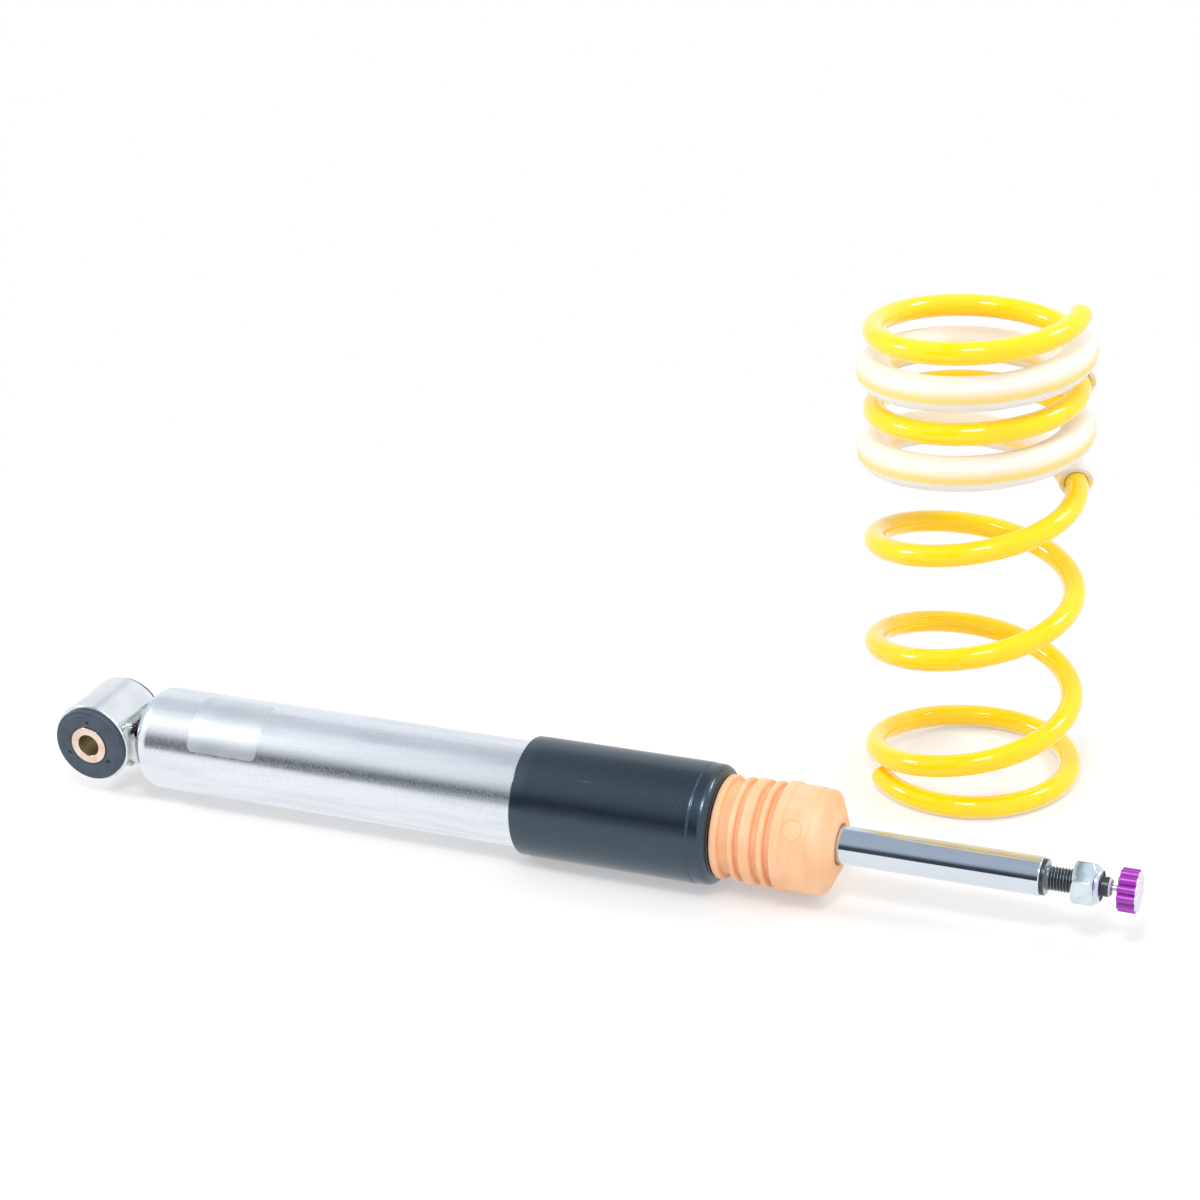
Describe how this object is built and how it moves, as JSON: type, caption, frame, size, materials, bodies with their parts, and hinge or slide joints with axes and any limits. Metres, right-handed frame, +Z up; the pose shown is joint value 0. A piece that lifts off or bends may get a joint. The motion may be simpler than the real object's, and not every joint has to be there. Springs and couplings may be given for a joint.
{
  "type": "coilover damper and spring set",
  "caption": "Twin-tube damper with rubber-bushed eye, dust sleeve, bump stop, lock nut and adjusters, beside its progressive coil spring with hoses.",
  "frame": {"origin": "centre of the bolt hole through the damper's lower eye", "axes": "+X runs along the damper from the eye to the stud, +Y runs along the eye's hole towards the spring, +Z is up from the floor that the dust sleeve and the spring rest on"},
  "size_m": [0.492, 0.2006, 0.2219],
  "materials": {
    "eye_steel": "zinc plated",
    "tube_steel": "fine galvanised grain",
    "inner_steel": "machined",
    "bright_steel": "bright",
    "copper_steel": "copper plated",
    "chrome": "hard chrome, stud blackened",
    "zinc": "blue zinc",
    "brass": "machined",
    "purple_anodised": "purple anodised",
    "rubber": "moulded",
    "foam": "cellular polyurethane",
    "black_plastic": "satin",
    "band_plastic": "bronze-filled",
    "blue_nylon": "nylon",
    "hose": "translucent",
    "yellow_paint": "glossy powder coat"
  },
  "bodies": {
    "damper_body": {"eye_ring": "eye_steel", "eye_neck": "eye_steel", "bush_rubber": "rubber", "outer_tube": "tube_steel", "base_plug": "inner_steel", "base_valve": "inner_steel", "valve_shims": "inner_steel", "valve_rivet": "brass", "pressure_tube": "inner_steel", "rod_guide": "inner_steel", "guide_bush": "brass", "guide_oring": "rubber", "rod_seal": "rubber", "seal_washer": "inner_steel"},
    "bush_sleeve": {"bush_sleeve": "copper_steel"},
    "compression_adjuster": {"compression_wheel": "purple_anodised", "compression_needle": "bright_steel"},
    "rod": {"piston_rod": "chrome", "piston": "inner_steel", "piston_band": "band_plastic", "compression_shims": "inner_steel", "rebound_shims": "inner_steel", "piston_nut": "zinc", "buffer_plate": "inner_steel", "rebound_buffer": "rubber"},
    "bump_stop": {"bump_stop": "foam", "dust_sleeve": "black_plastic"},
    "rebound_adjuster": {"rebound_needle": "bright_steel"},
    "knob": {"knob": "purple_anodised"},
    "nut_carrier": {"nut_insert": "blue_nylon"},
    "lock_nut": {"lock_nut": "zinc"},
    "spring": {"coil_spring": "yellow_paint", "upper_hose": "hose", "lower_hose": "hose"}
  },
  "joints": [
    {"name": "eye_twist", "type": "hinge", "parent": "damper_body", "child": "bush_sleeve", "pos_m": [0, 0, 0], "axis": [0, 1, 0], "range_deg": [-20, 20], "stiffness_Nm_per_rad": 0.3},
    {"name": "compression_turn", "type": "hinge", "parent": "damper_body", "child": "compression_adjuster", "pos_m": [0.022, 0, 0], "axis": [1, 0, 0], "range_deg": [-180, 180]},
    {"name": "rod_slide", "type": "slide", "parent": "damper_body", "child": "rod", "axis": [1, 0, 0], "range_m": [-0.138, 0]},
    {"name": "bump_stop_slide", "type": "slide", "parent": "rod", "child": "bump_stop", "axis": [1, 0, 0], "range_m": [-0.0002, 0.0842]},
    {"name": "rebound_turn", "type": "hinge", "parent": "rod", "child": "rebound_adjuster", "pos_m": [0.46, 0, 0], "axis": [1, 0, 0], "range_deg": [-360, 360]},
    {"name": "knob_pull", "type": "slide", "parent": "rebound_adjuster", "child": "knob", "axis": [1, 0, 0], "range_m": [-0.0028, 0.02]},
    {"name": "nut_travel", "type": "slide", "parent": "rod", "child": "nut_carrier", "axis": [1, 0, 0], "range_m": [-0.00875, 0.0025]},
    {"name": "nut_turn", "type": "hinge", "parent": "nut_carrier", "child": "lock_nut", "pos_m": [0.453, 0, 0], "axis": [1, 0, 0], "range_deg": [-2525, 725]},
    {"name": "spring_lift", "type": "slide", "parent": "damper_body", "child": "spring", "axis": [0, 0, 1], "range_m": [0, 0.3]}
  ],
  "couplings": [
    {"joint": "bump_stop_slide", "follows": "rod_slide", "ratio": -0.61014},
    {"joint": "nut_turn", "follows": "nut_travel", "rad_per_m": 5026.5}
  ]
}
